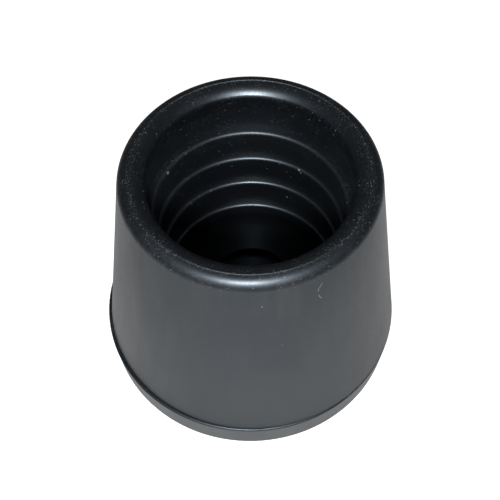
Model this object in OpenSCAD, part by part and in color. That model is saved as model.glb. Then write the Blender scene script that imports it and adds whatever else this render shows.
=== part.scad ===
// Chair leg ferrule: a moulded rubber foot that is pushed onto the end of a
// round tube leg. It is one piece: a foot with a flat tread, a tapered skirt
// above it, a rounded rim, and a blind socket with grip rings that get narrower
// on the way down, so that it holds legs of slightly different diameters.
//
// Frame: +Z runs up the socket's axis, and the origin lies on that axis at the
// tread. The profiles are half sections with X as the radius and Y as height.

/* [Outside] */
// Overall height, from the tread to the crown of the rim
height = 34.6; // [30:0.1:45]
// Diameter of the foot at its widest, the ledge
foot_d = 40; // [38.5:0.5:48]
// Height of the ledge above the tread
ledge_h = 5.2; // [4:0.1:7]
// Width of the ledge, from the skirt to the foot's edge
ledge_w = 0.24; // [0.24:0.02:1]
// Thickness of the wall at the rim
rim_t = 3.4; // [3:0.1:4.5]

/* [Socket] */
// Diameter of the throat, where the leg goes in
socket_d = 25; // [22:0.2:26.4]
// Depth of the socket below the crown of the rim
socket_depth = 24.7; // [24:0.1:27]
// Width of the lead-in, from the throat out to the crown
lead_in_w = 1.9; // [1.5:0.1:2.1]
// Radius of the lead-in's upper curve, which starts level at the crown
lead_in_r = 2.2; // [2.1:0.1:4]
// Radius of the lead-in's lower curve, which ends upright at the throat
throat_r = 0.8; // [0.6:0.1:1.4]
// Number of grip rings down the socket
rings = 4; // [1:1:4]
// Amount by which the first ring is narrower in radius than the throat
first_drop = 0.75; // [0.3:0.05:1.2]
// Amount by which each further ring is narrower in radius than the one above it
ring_drop = 0.3; // [0.26:0.02:0.5]
// Depth of the first ring's ledge below the crown of the rim
first_ring = 7.1; // [6:0.1:8]
// Distance from one ring to the next
ring_pitch = 4.9; // [3.5:0.02:4.9]
// Radius of the rounded upper edge of each ring
ring_edge_r = 0.5; // [0.2:0.05:0.55]
// Height of the upright band below that edge, which grips the leg
grip_h = 1.2; // [0.6:0.1:1.3]
// Amount by which the wall widens in radius from a band to the next ledge
relief = 0.34; // [0.2:0.02:0.5]
// Diameter of the round well in the socket's floor
well_d = 11; // [6:0.5:18]
// Depth of that well
well_depth = 1.1; // [0.5:0.1:2]

/* [Foot] */
// Angle by which the side of the foot leans in towards the tread
foot_draft = 5; // [0:1:12]
// Radius of the edge between the foot's side and the tread
tread_edge_r = 1.2; // [0.5:0.1:2.6]
// Radius of the edge of the ledge
ledge_edge_r = 0.25; // [0.1:0.05:0.3]
// Number of concentric grooves in the tread
grooves = 3; // [0:1:3]
// Radius of the innermost groove, at its middle
first_groove = 6; // [4:0.5:7]
// Distance from one groove to the next
groove_pitch = 3.6; // [3:0.1:4]
// Width of a groove at the tread
groove_w = 1.2; // [0.6:0.1:1.8]
// Depth of a groove
groove_depth = 0.8; // [0.4:0.1:1.2]

/* [Moulding marks] */
// Height of the fine ridge round the mouth, on the crown of the rim
ridge_h = 0.06; // [0.05:0.01:0.2]
// Width of that ridge at the crown
ridge_w = 0.1; // [0.08:0.02:0.3]
// Distance by which the foot's half of the mould sat off the socket's axis
mould_offset = 0.2; // [0:0.02:0.24]
// Direction of that offset, counted from +X towards +Y
mould_offset_dir = 190; // [0:5:355]

/* [Hidden] */
$fn = 96;
// How far a cutting shape runs past the surface that it opens
CLEAR = 1;
// How far the skirt is sunk into the foot, under the ledge
SINK = 0.3;
// How far each wall of a groove leans in, as a share of its depth
GROOVE_LEAN = 0.25;
RUBBER = [0.13, 0.135, 0.145];

foot_r = foot_d / 2;
skirt_foot_r = foot_r - ledge_w;
socket_r = socket_d / 2;
mouth_r = socket_r + lead_in_w;
rim_edge_r = rim_t - lead_in_w;
floor_z = height - socket_depth;
foot_shift = mould_offset * [cos(mould_offset_dir), sin(mould_offset_dir), 0];

lead_in_centre = [mouth_r, height - lead_in_r];
lead_in_turn = acos((lead_in_w - throat_r) / (lead_in_r - throat_r));
throat_centre = on_circle(lead_in_centre, lead_in_r - throat_r, 180 - lead_in_turn);

// Point of a circle at angle a.
function on_circle(centre, r, a) = centre + r * [cos(a), sin(a)];

// Angle at which a line from point p touches a circle on its outer side.
function touch_angle(p, centre, r) =
    let (d = p - centre)
        atan2(d.y, d.x) + acos(r / norm(d));

// Radius of grip ring i, counted down from 1; ring 0 is the throat.
function ring_r(i) = i == 0 ? socket_r : socket_r - first_drop - (i - 1) * ring_drop;

// Height of ring i's ledge.
function ring_z(i) = height - first_ring - (i - 1) * ring_pitch;

module disc(centre, r) {
    translate(centre) circle(r = r);
}

// Half section of the skirt. Its side touches the rounded edge of the rim, so
// the two run into each other.
module skirt_section() {
    corner = [skirt_foot_r, ledge_h];
    rim_centre = [mouth_r, height - rim_edge_r];
    touch = touch_angle(corner, rim_centre, rim_edge_r);
    polygon([
        [0, ledge_h - SINK],
        [skirt_foot_r, ledge_h - SINK],
        corner,
        on_circle(rim_centre, rim_edge_r, touch),
        [mouth_r, height],
        [0, height]
    ]);
    disc(rim_centre, rim_edge_r);
}

// Half section of the foot. Its side touches the small edge of the ledge and
// the large edge of the tread, and leans in by foot_draft.
module foot_section() {
    side = [cos(foot_draft), -sin(foot_draft)];
    ledge_centre = [foot_r - ledge_edge_r, ledge_h - ledge_edge_r];
    reach = side * ledge_centre + ledge_edge_r - tread_edge_r;
    tread_centre = [(reach - side.y * tread_edge_r) / side.x, tread_edge_r];
    polygon([
        [0, 0],
        [tread_centre.x, 0],
        on_circle(tread_centre, tread_edge_r, -foot_draft),
        on_circle(ledge_centre, ledge_edge_r, -foot_draft),
        [ledge_centre.x, ledge_h],
        [0, ledge_h]
    ]);
    disc(ledge_centre, ledge_edge_r);
    disc(tread_centre, tread_edge_r);
}

// Half section of the lead-in: a wide curve that starts level at the crown, and
// a tighter one, touching it, that ends upright at the throat.
module lead_in_section() {
    meet = on_circle(lead_in_centre, lead_in_r, 180 - lead_in_turn);
    difference() {
        polygon([
            [0, throat_centre.y],
            [socket_r, throat_centre.y],
            meet,
            [mouth_r, height],
            [mouth_r, height + CLEAR],
            [0, height + CLEAR]
        ]);
        disc(throat_centre, throat_r);
        intersection() {
            disc(lead_in_centre, lead_in_r);
            translate([0, meet.y]) square([mouth_r, lead_in_r]);
        }
    }
}

// Half section of the socket from ring i, or the throat, down to the next
// ledge: an upright band, and below it a wall that widens.
module band_section(i) {
    top = i == 0 ? throat_centre.y : ring_z(i);
    band_foot = top - (i == 0 ? 0 : ring_edge_r) - grip_h;
    polygon([
        [0, ring_z(i + 1)],
        [ring_r(i) + relief, ring_z(i + 1)],
        [ring_r(i), band_foot],
        [ring_r(i), top],
        [0, top]
    ]);
}

// Half section of the socket from the last ring down to the floor.
module last_band_section() {
    translate([0, floor_z]) square([ring_r(rings), ring_z(rings) - floor_z]);
}

// Half section of what rounds the upper edge of ring i.
module ring_edge_section(i) {
    centre = [ring_r(i) + ring_edge_r, ring_z(i) - ring_edge_r];
    difference() {
        translate([0, centre.y]) square([centre.x, ring_edge_r]);
        disc(centre, ring_edge_r);
    }
}

// Half section of the well in the socket's floor.
module well_section() {
    translate([0, floor_z - well_depth]) square([well_d / 2, well_depth]);
}

// Half section of a groove in the tread at radius r. It narrows upwards.
module groove_section(r) {
    top_w = groove_w - 2 * GROOVE_LEAN * groove_depth;
    translate([r, 0])
        polygon([
            [-groove_w / 2, -CLEAR],
            [groove_w / 2, -CLEAR],
            [groove_w / 2, 0],
            [top_w / 2, groove_depth],
            [-top_w / 2, groove_depth],
            [-groove_w / 2, 0]
        ]);
}

// Section of the ridge round the mouth, sunk into the crown by its own height.
module ridge_section() {
    translate([mouth_r, height])
        polygon([[-ridge_w, -ridge_h], [ridge_w, -ridge_h], [0, ridge_h]]);
}

module skirt() {
    rotate_extrude() skirt_section();
}

module foot() {
    rotate_extrude() foot_section();
}

module socket() {
    rotate_extrude() {
        lead_in_section();
        for (i = [0 : 1 : rings - 1]) band_section(i);
        last_band_section();
        for (i = [1 : 1 : rings]) ring_edge_section(i);
        well_section();
    }
}

module tread_grooves() {
    for (i = [0 : 1 : grooves - 1])
        rotate_extrude() groove_section(first_groove + i * groove_pitch);
}

module mouth_ridge() {
    rotate_extrude() ridge_section();
}

module ferrule() {
    color(RUBBER) {
        difference() {
            union() {
                skirt();
                translate(foot_shift) foot();
            }
            socket();
            translate(foot_shift) tread_grooves();
        }
        mouth_ridge();
    }
}

ferrule();
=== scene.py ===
"""Chair leg ferrule: a black rubber foot for a round tube leg, dressed and lit in a small studio.

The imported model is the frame: it is loaded first, stays as it is, and gives every place and size.
"""
import math
from typing import NamedTuple

import bpy
from bpy.props import FloatProperty, FloatVectorProperty, PointerProperty
from mathutils import Matrix, Vector


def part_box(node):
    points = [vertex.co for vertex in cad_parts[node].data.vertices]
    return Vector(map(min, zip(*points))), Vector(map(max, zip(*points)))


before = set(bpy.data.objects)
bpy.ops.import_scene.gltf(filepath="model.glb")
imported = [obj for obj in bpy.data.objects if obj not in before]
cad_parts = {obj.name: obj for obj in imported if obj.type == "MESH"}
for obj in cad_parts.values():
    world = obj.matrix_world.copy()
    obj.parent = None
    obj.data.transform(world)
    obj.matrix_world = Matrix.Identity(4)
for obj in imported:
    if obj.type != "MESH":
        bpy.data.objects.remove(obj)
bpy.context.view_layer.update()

bl_info = {
    "name": "Chair Leg Ferrule",
    "version": (1, 0, 0),
    "blender": (4, 5, 0),
    "location": "View3D > Sidebar > Ferrule",
    "description": "Dresses a moulded rubber chair leg ferrule and sets a soft studio round it",
    "category": "Object",
}

_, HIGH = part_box("ferrule")
# Middle of the mouth, level with the top of the part
CROWN = Vector((0, 0, HIGH[2]))


# ---------------------------------------------------------------- the rubber's zones and textures


# A zone lies where all its edges are passed. An edge names its measure, and says where the zone starts to
# show and where it is full, in millimetres. Height counts from the tread, and radius from the axis.
IN_SOCKET = ("radius", 14.2, 12.9)
ZONES = {
    "skirt": (("radius", 14.8, 15.6),),
    "rim": (("height", 31.5, 33.5),),
    "lead_in": (("height", 31.0, 32.5), ("radius", 14.4, 14.1)),
    "ridge": (("radius", 14.2, 14.3), ("radius", 14.6, 14.5), ("height", 34.59, 34.61)),
    "socket_wall": (IN_SOCKET, ("height", 32.0, 30.5)),
    "lower_wall": (IN_SOCKET, ("height", 25.0, 20.0)),
    "socket_floor": (IN_SOCKET, ("height", 12.2, 10.6)),
    "dusty_shoulder": (("height", 31.8, 33.6), ("radius", 12.8, 14.0)),
    "dusty_crest": (("radius", 13.9, 14.35), ("radius", 14.9, 14.45), ("height", 34.0, 34.5)),
    "dusty_wall": (IN_SOCKET, ("height", 13.0, 20.0)),
    "dusty_ring": (IN_SOCKET, ("height", 24.8, 27.0)),
    "dusty_ledge": (("height", 6.2, 5.3), ("height", 4.9, 5.2)),
}


class Cloud(NamedTuple):
    """Fractal noise over the part."""

    per_mm: float       # features in a millimetre
    detail: float       # finer layers on top of them
    upright: float      # what height is multiplied by first, so less than 1 draws the noise out upwards
    start: float        # the noise counts as 0 below this
    full: float         # and as 1 above this


class Grains(NamedTuple):
    """Small round grains, at most one to a cell."""

    per_mm: float       # cells in a millimetre
    size: float         # radius of a grain, in cells
    share: float        # share of the cells that hold one


UNEVENNESS = Cloud(per_mm=0.16, detail=3.0, upright=0.35, start=0.3, full=0.7)
SKIN = Cloud(per_mm=2.6, detail=2.0, upright=1.0, start=0.3, full=0.7)
PALE_PATCHES = Cloud(per_mm=0.22, detail=4.0, upright=0.45, start=0.42, full=0.68)
PALE_STREAKS = Cloud(per_mm=0.9, detail=2.0, upright=0.08, start=0.30, full=0.70)
DUST_HAZE = Cloud(per_mm=5.5, detail=1.0, upright=1.0, start=0.60, full=0.70)
DUST_CLUMPS = Cloud(per_mm=0.35, detail=2.0, upright=1.0, start=0.38, full=0.62)
DUST_GRAINS = Grains(per_mm=2.6, size=0.20, share=0.55)
STRAY_GRAINS = Grains(per_mm=1.1, size=0.11, share=0.6)
NOISE_ROUGHNESS = 0.55

# How far the roughness goes up and down with the large unevenness and with the skin's fine grain
UNEVENNESS_PLAY = 0.03
SKIN_PLAY = 0.02
# Strength of that grain as a bump, and its depth in metres
SKIN_BUMP = 0.12
SKIN_DEPTH = 0.00002
# How much of the paler streaks and patches show
PALE_SHARE = 0.6
# How thick the haze of dust is where it lies in clumps, and along the crest, where it is even
HAZE_SHARES = {"dusty_shoulder": 0.4, "dusty_ring": 0.25, "dusty_ledge": 0.25}
CREST_HAZE = 0.7
# Share of the grains between the clumps of dust, and what is added inside them
SPARSE_GRAINS = 0.15
CLUMPED_GRAINS = 0.7
# Faintest grain, against the strongest
FAINTEST_GRAIN = 0.35

# Middles of the single specks and their radii, in millimetres
SPECKS = (
    ((1.15, -16.20, 30.67), 0.11),
    ((3.51, -16.94, 23.01), 0.09),
    ((10.20, -16.04, 10.59), 0.10),
    ((-10.41, 5.57, 27.23), 0.24),
    ((6.48, 9.57, 22.41), 0.18),
    ((6.74, 9.31, 22.10), 0.14),
    ((5.05, 9.95, 15.89), 0.16),
)
# Points along the two short hairs, and the radius of a hair, in millimetres
HAIRS = (
    ((7.95, -14.00, 32.10), (7.85, -14.07, 31.77), (7.55, -14.25, 31.35), (7.49, -14.37, 30.97)),
    ((7.60, -14.40, 30.15), (7.77, -14.41, 29.71), (8.05, -14.38, 29.35)),
)
HAIR_R = 0.05
# Middle and radius of the broad paler patch low on the skirt, in millimetres
PATCH = ((2.5, -18.0, 11.5), 7.5)
# Soft edges of a speck or patch, a grain and a hair: the shares of its radius where it starts and is full
SPOT_EDGE = (1.2, 0.4)
GRAIN_EDGE = (1.3, 0.5)
HAIR_EDGE = (1.4, 0.6)

MM_PER_M = 1000.0
RUBBER_IOR = 1.5
WHITE = (1, 1, 1, 1)

# Side of the floor, and how far out its rings of light end, in metres
FLOOR_SIDE = 8.0
RINGS_END = 0.1
# Where the shares of the floor's light hold, on the way out to that end, and from the back to the front
RING_STOPS = (0.2, 0.32, 0.6, 1.0)
SIDE_STOPS = (0.1, 0.45, 0.8, 1.0)
FLOOR_ROUGHNESS = 0.9

# Middle of the part, which the camera looks at before it is tilted and panned
AIM = Vector((0, 0, 0.0173))
# Width of its sensor in millimetres, and the nearest that it sees, in metres
SENSOR_WIDTH = 36
NEAR_CLIP = 0.001


# ---------------------------------------------------------------- settings


class FERRULE_PG_rubber(bpy.types.PropertyGroup):
    """What the moulded rubber looks like."""

    colour: FloatVectorProperty(
        name="Rubber", description="Colour of the clean rubber", subtype="COLOR", size=3,
        min=0, max=1, default=(0.0016, 0.0020, 0.0026))
    pale_tone_colour: FloatVectorProperty(
        name="Paler tone", description="Colour of the paler streaks and patches", subtype="COLOR",
        size=3, min=0, max=1, default=(0.0090, 0.0095, 0.0096))
    dust_colour: FloatVectorProperty(
        name="Dust", description="Colour of the fine dust", subtype="COLOR", size=3,
        min=0, max=1, default=(0.085, 0.09, 0.095))
    speck_colour: FloatVectorProperty(
        name="Specks", description="Colour of the single specks and hairs", subtype="COLOR",
        size=3, min=0, max=1, default=(0.075, 0.08, 0.08))
    sheen_tint: FloatVectorProperty(
        name="Sheen tint", description="Cool tint of the reflections", subtype="COLOR", size=3,
        min=0, max=1, default=(0.75, 0.885, 1.0))
    skirt_roughness: FloatProperty(
        name="Skirt roughness", description="Roughness of the outside", subtype="FACTOR",
        min=0, max=1, default=0.42)
    rim_roughness: FloatProperty(
        name="Rim roughness", description="Roughness of the rim's outer shoulder", subtype="FACTOR",
        min=0, max=1, default=0.43)
    lead_in_roughness: FloatProperty(
        name="Lead-in roughness", description="Roughness of the lead-in", subtype="FACTOR",
        min=0, max=1, default=0.35)
    bore_roughness: FloatProperty(
        name="Socket roughness", description="Roughness of the upper half of the socket's wall",
        subtype="FACTOR", min=0, max=1, default=0.44)
    lower_bore_roughness: FloatProperty(
        name="Lower socket roughness", description="Roughness of the lower half of that wall",
        subtype="FACTOR", min=0, max=1, default=0.37)
    ridge_roughness: FloatProperty(
        name="Ridge roughness", description="Roughness of the fine ridge round the mouth",
        subtype="FACTOR", min=0, max=1, default=0.6)
    floor_roughness: FloatProperty(
        name="Socket floor roughness", description="Roughness of the socket's floor",
        subtype="FACTOR", min=0, max=1, default=0.4)
    gloss: FloatProperty(
        name="Gloss", description="Strength of the reflections", subtype="FACTOR",
        min=0, max=1, default=0.5)
    floor_gloss: FloatProperty(
        name="Socket floor gloss", description="Strength of the reflections in the socket's floor",
        subtype="FACTOR", min=0, max=1, default=0.12)
    dust: FloatProperty(
        name="Dust amount", description="Share of the dust that shows", subtype="FACTOR",
        min=0, max=1, default=0.7)


class FERRULE_PG_stage(bpy.types.PropertyGroup):
    """Floor, light and camera."""

    floor_colour: FloatVectorProperty(
        name="Floor", description="Colour of the floor", subtype="COLOR", size=3,
        min=0, max=1, default=(0.2, 0.2, 0.2))
    floor_glow: FloatProperty(
        name="Floor glow", description="How bright the floor is to look at", min=0, default=1.1)
    floor_thrown: FloatProperty(
        name="Floor light", description="Light that the floor throws on the part", min=0,
        default=1.4)
    floor_rings: FloatVectorProperty(
        name="Floor rings", description="Share of that light at 20, 32, 60 and 100 mm out",
        size=4, min=0, default=(0.55, 0.81, 0.73, 0.15))
    floor_sides: FloatVectorProperty(
        name="Floor sides", description="Share of that light from the back round to the front",
        size=4, min=0, default=(0.5, 0.5, 0.73, 1.0))
    walls: FloatProperty(
        name="Walls", description="Light of the room from all sides", min=0, default=0.06)
    overhead: FloatProperty(
        name="Overhead", description="Light of the room straight above", min=0, default=0.08)
    front_light: FloatProperty(
        name="Front light", description="Brightness of the soft light in front", min=0,
        default=1.36)
    front_narrow: FloatProperty(
        name="Front spread", description="How narrow the soft light in front is", min=0,
        default=9.7)
    front_place: FloatVectorProperty(
        name="Front place", description="Turn to the right and rise of the light in front",
        subtype="EULER", unit="ROTATION", size=2, default=(-0.165, 0.383))
    behind_light: FloatProperty(
        name="Back light", description="Brightness of the faint light behind", min=0, default=0.16)
    behind_narrow: FloatProperty(
        name="Back spread", description="How narrow the faint light behind is", min=0,
        default=25.0)
    behind_place: FloatVectorProperty(
        name="Back place", description="Turn and rise of the light behind",
        subtype="EULER", unit="ROTATION", size=2, default=(3.1416, 1.03))
    key_power: FloatProperty(
        name="Key light", description="Power of the small light in front of the rim and above it",
        unit="POWER", min=0, default=0.37)
    key_size: FloatProperty(
        name="Key size", description="Width of the key light", unit="LENGTH", min=0, default=0.02)
    key_place: FloatVectorProperty(
        name="Key place", description="Middle of the key light, from the middle of the tread",
        subtype="TRANSLATION", unit="LENGTH", size=3, default=(-0.005, -0.085, 0.110))
    distance: FloatProperty(
        name="Camera distance", description="From the middle of the part to the camera",
        unit="LENGTH", min=0, default=0.13408)
    elevation: FloatProperty(
        name="Camera elevation", description="How far the camera looks down", subtype="ANGLE",
        default=0.9887)
    lens: FloatProperty(
        name="Lens", description="Focal length on a 36 mm sensor", subtype="DISTANCE_CAMERA",
        min=1, default=73.30)
    tilt: FloatProperty(
        name="Tilt", description="Turn of the camera about its own sideways axis", subtype="ANGLE",
        default=0.0019)
    pan: FloatProperty(
        name="Pan", description="Turn of the camera about its own upward axis", subtype="ANGLE",
        default=-0.0011)
    roll: FloatProperty(
        name="Roll", description="Turn of the camera about its line of sight", subtype="ANGLE",
        default=-0.0116)


# ---------------------------------------------------------------- node helpers


def feed(tree, source, target):
    """Gives a socket its source: another socket, or a plain value."""
    if isinstance(source, bpy.types.NodeSocket):
        tree.links.new(source, target)
    else:
        target.default_value = source


def add_node(tree, kind, sources=None, **settings):
    """New node with these settings. The sources go to its sockets, by name or number."""
    node = tree.nodes.new(kind)
    for name, value in settings.items():
        setattr(node, name, value)
    for socket, source in (sources or {}).items():
        feed(tree, source, node.inputs[socket])
    return node


def combine(tree, operation, *sources):
    """One operation over all the sources, from the first to the last."""
    total, *rest = sources
    for source in rest:
        total = add_node(tree, "ShaderNodeMath", {0: total, 1: source}, operation=operation).outputs[0]
    return total


def times(tree, *sources):
    return combine(tree, "MULTIPLY", *sources)


def plus(tree, *sources):
    return combine(tree, "ADD", *sources)


def most(tree, *sources):
    return combine(tree, "MAXIMUM", *sources)


def spread(tree, value, low, high, to_low, to_high):
    """Value carried from one range to another, and kept inside it."""
    ends = {"Value": value, "From Min": low, "From Max": high, "To Min": to_low, "To Max": to_high}
    return add_node(tree, "ShaderNodeMapRange", ends).outputs["Result"]


def between(tree, value, start, full):
    """0 before start and 1 past full, eased. Start may be the larger one."""
    ends = {"Value": value, "From Min": start, "From Max": full}
    node = add_node(tree, "ShaderNodeMapRange", ends, interpolation_type="SMOOTHSTEP")
    return node.outputs["Result"]


def blend(tree, share, first, second):
    """First number where share is 0, second where it is 1."""
    node = add_node(tree, "ShaderNodeMix", {"Factor": share, "A": first, "B": second})
    return node.outputs["Result"]


def tint(tree, share, first, second):
    """First colour where share is 0, second where it is 1."""
    node = add_node(tree, "ShaderNodeMix", {"Factor": share}, data_type="RGBA")
    colours = [socket for socket in node.inputs if socket.type == "RGBA"]
    for source, target in zip((first, second), colours):
        feed(tree, source, target)
    return next(socket for socket in node.outputs if socket.type == "RGBA")


def vector_node(tree, operation, sources):
    """Vector arithmetic. Gives the node, since some operations end in a vector and some in a number."""
    return add_node(tree, "ShaderNodeVectorMath", sources, operation=operation)


def label(socket, text):
    """Labels the node that the socket belongs to."""
    socket.node.label = text
    return socket


def grey_ramp(tree, value, stops, levels):
    """Level that follows the value, straight from stop to stop."""
    ramp = add_node(tree, "ShaderNodeValToRGB", {0: value})
    elements = ramp.color_ramp.elements
    while len(elements) < len(stops):
        elements.new(0.5)
    for element, stop, level in zip(elements, stops, levels):
        element.position = stop
        element.color = (level, level, level, 1)
    return ramp.outputs[0]


# ---------------------------------------------------------------- rubber


def make_rubber(looks):
    """Near-black rubber: a cool satin sheen, paler streaks, fine dust, and a few specks and hairs."""
    material = bpy.data.materials.new("moulded_rubber")
    material.use_nodes = True
    tree = material.node_tree
    coords = add_node(tree, "ShaderNodeTexCoord").outputs["Object"]
    place = vector_node(tree, "SCALE", {0: coords, "Scale": MM_PER_M}).outputs[0]
    label(place, "millimetres")
    zones = find_zones(tree, place)
    skin = cloud(tree, place, SKIN)
    bump = {"Height": skin, "Strength": SKIN_BUMP, "Distance": SKIN_DEPTH}
    normal = add_node(tree, "ShaderNodeBump", bump).outputs["Normal"]
    inputs = {
        "Base Color": rubber_colour(tree, place, zones, looks),
        "Roughness": rubber_roughness(tree, place, zones, skin, looks),
        "IOR": RUBBER_IOR,
        "Specular IOR Level": blend(tree, zones["socket_floor"], looks.gloss, looks.floor_gloss),
        "Specular Tint": (*looks.sheen_tint, 1),
        "Normal": label(normal, "satin skin"),
    }
    shader = tree.nodes["Principled BSDF"]
    for name, source in inputs.items():
        feed(tree, source, shader.inputs[name])
    return material


def find_zones(tree, place):
    """For each zone a number that is 1 in it and 0 outside it, with soft edges."""
    flat = vector_node(tree, "MULTIPLY", {0: place, 1: (1, 1, 0)}).outputs[0]
    where = {
        "height": add_node(tree, "ShaderNodeSeparateXYZ", {0: place}).outputs["Z"],
        "radius": label(vector_node(tree, "LENGTH", {0: flat}).outputs["Value"], "radius"),
    }
    passed, zones = {}, {}
    for name, edges in ZONES.items():
        for edge in edges:
            if edge not in passed:
                measure, start, full = edge
                passed[edge] = between(tree, where[measure], start, full)
        zones[name] = label(times(tree, *(passed[edge] for edge in edges)), name)
    return zones


def rubber_roughness(tree, place, zones, skin, looks):
    """Roughness zone by zone, a little uneven."""
    roughness = looks.skirt_roughness
    for name, value in (
        ("rim", looks.rim_roughness),
        ("lead_in", looks.lead_in_roughness),
        ("ridge", looks.ridge_roughness),
        ("socket_wall", looks.bore_roughness),
        ("lower_wall", looks.lower_bore_roughness),
        ("socket_floor", looks.floor_roughness),
    ):
        roughness = blend(tree, zones[name], roughness, value)
    for noise, kind, play in (
        (cloud(tree, place, UNEVENNESS), UNEVENNESS, UNEVENNESS_PLAY),
        (skin, SKIN, SKIN_PLAY),
    ):
        roughness = plus(tree, roughness, spread(tree, noise, kind.start, kind.full, -play, play))
    return roughness


def rubber_colour(tree, place, zones, looks):
    """Clean rubber under paler streaks and patches, dust, specks and hairs."""
    # Paler streaks over the skirt, and one broad paler patch low on its front
    pale_tone = times(
        tree, shown(tree, place, PALE_PATCHES), shown(tree, place, PALE_STREAKS), zones["skirt"])
    pale_tone = times(tree, most(tree, pale_tone, spot(tree, place, *PATCH)), PALE_SHARE)
    dust = times(tree, dust_cover(tree, place, zones), looks.dust)
    colour = (*looks.colour, 1)
    for share, layer in (
        (label(pale_tone, "pale_tone"), looks.pale_tone_colour),
        (label(dust, "dust"), looks.dust_colour),
        (label(marks(tree, place), "specks and hairs"), looks.speck_colour),
    ):
        colour = tint(tree, share, colour, (*layer, 1))
    return colour


def dust_cover(tree, place, zones):
    """How much dust lies where: a fine haze, grains in clumps, and stray grains."""
    shoulder, crest, ledge = zones["dusty_shoulder"], zones["dusty_crest"], zones["dusty_ledge"]
    clumps = shown(tree, place, DUST_CLUMPS)
    thin = most(tree, *(times(tree, zones[name], share) for name, share in HAZE_SHARES.items()))
    hazy = most(tree, times(tree, thin, clumps), times(tree, crest, CREST_HAZE))
    haze = times(tree, shown(tree, place, DUST_HAZE), hazy)
    clumped = plus(tree, times(tree, clumps, CLUMPED_GRAINS), SPARSE_GRAINS)
    grainy = most(tree, times(tree, most(tree, shoulder, ledge), clumped), crest)
    grains = times(tree, sprinkle(tree, place, DUST_GRAINS), grainy)
    strays = times(
        tree, sprinkle(tree, place, STRAY_GRAINS), most(tree, zones["dusty_wall"], shoulder))
    return most(tree, haze, grains, strays)


def marks(tree, place):
    """The single specks and the two hairs."""
    spots = [spot(tree, place, middle, size) for middle, size in SPECKS]
    strokes = [
        stroke(tree, place, Vector(start), Vector(end), HAIR_R)
        for hair in HAIRS for start, end in zip(hair, hair[1:])]
    return most(tree, *spots, *strokes)


def cloud(tree, place, kind):
    """Fractal noise of this kind, not yet carried to between 0 and 1."""
    drawn = vector_node(tree, "MULTIPLY", {0: place, 1: (1, 1, kind.upright)}).outputs[0]
    sources = {
        "Vector": drawn, "Scale": kind.per_mm, "Detail": kind.detail, "Roughness": NOISE_ROUGHNESS}
    return add_node(tree, "ShaderNodeTexNoise", sources).outputs[0]


def shown(tree, place, kind):
    """The same noise, carried to between 0 and 1."""
    return between(tree, cloud(tree, place, kind), kind.start, kind.full)


def sprinkle(tree, place, kind):
    """Grains of unlike strength, in a share of the cells."""
    cells = add_node(tree, "ShaderNodeTexVoronoi", {"Vector": place, "Scale": kind.per_mm})
    chance, strength, _ = add_node(
        tree, "ShaderNodeSeparateColor", {0: cells.outputs["Color"]}).outputs
    held = combine(tree, "LESS_THAN", chance, kind.share)
    start, full = (share * kind.size for share in GRAIN_EDGE)
    grain = between(tree, cells.outputs["Distance"], start, full)
    return times(tree, grain, held, spread(tree, strength, 0.0, 1.0, FAINTEST_GRAIN, 1.0))


def spot(tree, place, middle, size):
    """Soft-edged round mark on the surface."""
    away = vector_node(tree, "DISTANCE", {0: place, 1: middle}).outputs["Value"]
    start, full = (share * size for share in SPOT_EDGE)
    return between(tree, away, start, full)


def stroke(tree, place, start, end, size):
    """Soft-edged straight mark on the surface, from start to end."""
    along = end - start
    offset = vector_node(tree, "SUBTRACT", {0: place, 1: start}).outputs[0]
    share = vector_node(tree, "DOT_PRODUCT", {0: offset, 1: along / along.length_squared})
    kept = add_node(tree, "ShaderNodeClamp", {"Value": share.outputs["Value"]}).outputs[0]
    nearest = vector_node(tree, "SCALE", {0: along, "Scale": kept}).outputs[0]
    away = vector_node(tree, "DISTANCE", {0: offset, 1: nearest}).outputs["Value"]
    edge_start, edge_full = (share * size for share in HAIR_EDGE)
    return between(tree, away, edge_start, edge_full)


# ---------------------------------------------------------------- studio


def make_floor(stage):
    """Light table: evenly white to look at, while the light that it throws on the part fades outwards."""
    half = FLOOR_SIDE / 2
    mesh = bpy.data.meshes.new("floor")
    corners = [(-half, -half, 0), (half, -half, 0), (half, half, 0), (-half, half, 0)]
    mesh.from_pydata(corners, [], [(0, 1, 2, 3)])
    floor = bpy.data.objects.new("floor", mesh)
    bpy.context.scene.collection.objects.link(floor)
    material = bpy.data.materials.new("pale_floor")
    material.use_nodes = True
    tree = material.node_tree
    inputs = {
        "Base Color": (*stage.floor_colour, 1),
        "Roughness": FLOOR_ROUGHNESS,
        "Specular IOR Level": 0,
        "Emission Color": WHITE,
        "Emission Strength": white_to_look_at(tree, floor_light(tree, stage), stage),
    }
    shader = tree.nodes["Principled BSDF"]
    for name, source in inputs.items():
        feed(tree, source, shader.inputs[name])
    mesh.materials.append(material)


def floor_light(tree, stage):
    """Light that the floor throws: rings round the part, and brighter in front than behind."""
    place = add_node(tree, "ShaderNodeNewGeometry").outputs["Position"]
    reach = vector_node(tree, "LENGTH", {0: place}).outputs["Value"]
    outwards = label(spread(tree, reach, 0.0, RINGS_END, 0.0, 1.0), "outwards")
    heading = vector_node(tree, "NORMALIZE", {0: place}).outputs[0]
    ahead = add_node(tree, "ShaderNodeSeparateXYZ", {0: heading}).outputs["Y"]
    forwards = label(spread(tree, ahead, 1.0, -1.0, 0.0, 1.0), "back to front")
    rings = grey_ramp(tree, outwards, RING_STOPS, stage.floor_rings)
    sides = grey_ramp(tree, forwards, SIDE_STOPS, stage.floor_sides)
    return label(times(tree, rings, sides, stage.floor_thrown), "light thrown")


def white_to_look_at(tree, thrown, stage):
    """Even white for the camera, and the light that is thrown for everything else."""
    path = add_node(tree, "ShaderNodeLightPath")
    light = blend(tree, path.outputs["Is Camera Ray"], thrown, stage.floor_glow)
    return label(light, "white to look at")


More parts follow.
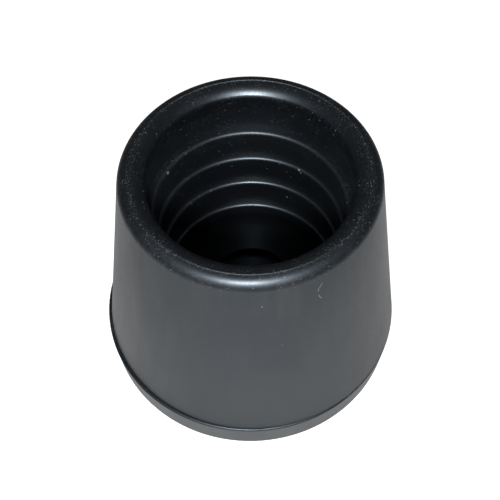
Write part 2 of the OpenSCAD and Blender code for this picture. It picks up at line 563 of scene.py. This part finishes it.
def make_world(scene, stage):
    """Dim room with one broad soft light in front, a little to the left, and a faint one behind."""
    world = bpy.data.worlds.new("studio_walls")
    scene.world = world
    world.use_nodes = True
    tree = world.node_tree
    tree.nodes.clear()
    coords = add_node(tree, "ShaderNodeTexCoord").outputs["Generated"]
    upwards = add_node(tree, "ShaderNodeSeparateXYZ", {0: coords}).outputs["Z"]
    overhead = add_node(
        tree, "ShaderNodeMath", {0: upwards, 1: stage.overhead}, operation="MULTIPLY", use_clamp=True)
    thrown = plus(
        tree,
        soft_patch(tree, coords, stage.front_place, stage.front_narrow, stage.front_light),
        soft_patch(tree, coords, stage.behind_place, stage.behind_narrow, stage.behind_light),
        label(overhead.outputs[0], "overhead"),
        stage.walls)
    glow = {"Color": WHITE, "Strength": white_to_look_at(tree, thrown, stage)}
    walls = add_node(tree, "ShaderNodeBackground", glow)
    add_node(tree, "ShaderNodeOutputWorld", {"Surface": walls.outputs[0]})


def soft_patch(tree, coords, place, narrow, strength):
    """Light that falls off softly round one direction of the room."""
    sideways, rise = place
    toward = (
        math.sin(sideways) * math.cos(rise), -math.cos(sideways) * math.cos(rise), math.sin(rise))
    along = vector_node(tree, "DOT_PRODUCT", {0: coords, 1: toward}).outputs["Value"]
    falloff = add_node(
        tree, "ShaderNodeMath", {0: along, 1: narrow, 2: -narrow}, operation="MULTIPLY_ADD")
    bell = add_node(tree, "ShaderNodeMath", {0: falloff.outputs[0]}, operation="EXPONENT")
    return times(tree, bell.outputs[0], strength)


def make_key(scene, stage):
    """Round area light that faces the rim from close by."""
    light = bpy.data.lights.new("key", "AREA")
    light.shape = "DISK"
    light.size = stage.key_size
    light.energy = stage.key_power
    lamp = bpy.data.objects.new("key", light)
    scene.collection.objects.link(lamp)
    place = Vector(stage.key_place)
    away = place - CROWN
    lamp.matrix_world = Matrix.Translation(place) @ away.to_track_quat("Z", "Y").to_matrix().to_4x4()


def make_camera(scene, stage):
    """Camera in front of the part, looking down on it from close by."""
    lens = bpy.data.cameras.new("camera")
    lens.lens = stage.lens
    lens.sensor_width = SENSOR_WIDTH
    lens.clip_start = NEAR_CLIP
    camera = bpy.data.objects.new("camera", lens)
    scene.collection.objects.link(camera)
    rise = stage.elevation
    ahead = Vector((0, math.cos(rise), -math.sin(rise)))
    right = Vector((1, 0, 0))
    up = right.cross(ahead)
    place = AIM - ahead * stage.distance
    right, up = turn(right, up, stage.roll)
    ahead, up = turn(ahead, up, stage.tilt)
    ahead, right = turn(ahead, right, stage.pan)
    basis = Matrix((right, up, -ahead)).transposed().to_4x4()
    camera.matrix_world = Matrix.Translation(place) @ basis
    scene.camera = camera


def turn(first, second, angle):
    """Both axes, turned by the angle in the plane that they span."""
    cosine, sine = math.cos(angle), math.sin(angle)
    return first * cosine + second * sine, second * cosine - first * sine


# ---------------------------------------------------------------- operators


class FERRULE_OT_rubber(bpy.types.Operator):
    """Gives the ferrule its moulded rubber"""

    bl_idname = "ferrule.rubber"
    bl_label = "Rubber"

    def execute(self, context):
        material = make_rubber(context.scene.ferrule_rubber)
        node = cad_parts["ferrule"]
        if not node.material_slots:
            raise RuntimeError("the ferrule has no material slot")
        for slot in node.material_slots:
            slot.material = material
        return {"FINISHED"}


class FERRULE_OT_stage(bpy.types.Operator):
    """Sets the floor, the lights and the camera"""

    bl_idname = "ferrule.stage"
    bl_label = "Studio"

    def execute(self, context):
        scene = context.scene
        stage = scene.ferrule_stage
        scene.view_settings.view_transform = "Standard"
        make_floor(stage)
        make_world(scene, stage)
        make_key(scene, stage)
        make_camera(scene, stage)
        return {"FINISHED"}


# ---------------------------------------------------------------- panel and registration


class FERRULE_PT_panel(bpy.types.Panel):
    """Lists what dresses the ferrule"""

    bl_label = "Ferrule"
    bl_idname = "FERRULE_PT_panel"
    bl_space_type = "VIEW_3D"
    bl_region_type = "UI"
    bl_category = "Ferrule"

    def draw(self, context):
        scene = context.scene
        for group, operator in (
            (scene.ferrule_rubber, FERRULE_OT_rubber),
            (scene.ferrule_stage, FERRULE_OT_stage),
        ):
            box = self.layout.box()
            box.label(text=operator.bl_label)
            for name in group.bl_rna.properties.keys():
                if name not in {"rna_type", "name"}:
                    box.prop(group, name)
            box.operator(operator.bl_idname)


CLASSES = (
    FERRULE_PG_rubber,
    FERRULE_PG_stage,
    FERRULE_OT_rubber,
    FERRULE_OT_stage,
    FERRULE_PT_panel,
)


def register():
    for cls in CLASSES:
        bpy.utils.register_class(cls)
    bpy.types.Scene.ferrule_rubber = PointerProperty(type=FERRULE_PG_rubber)
    bpy.types.Scene.ferrule_stage = PointerProperty(type=FERRULE_PG_stage)


def unregister():
    del bpy.types.Scene.ferrule_stage
    del bpy.types.Scene.ferrule_rubber
    for cls in reversed(CLASSES):
        bpy.utils.unregister_class(cls)


def main():
    register()
    bpy.ops.ferrule.rubber()
    bpy.ops.ferrule.stage()


if __name__ == "__main__":
    main()
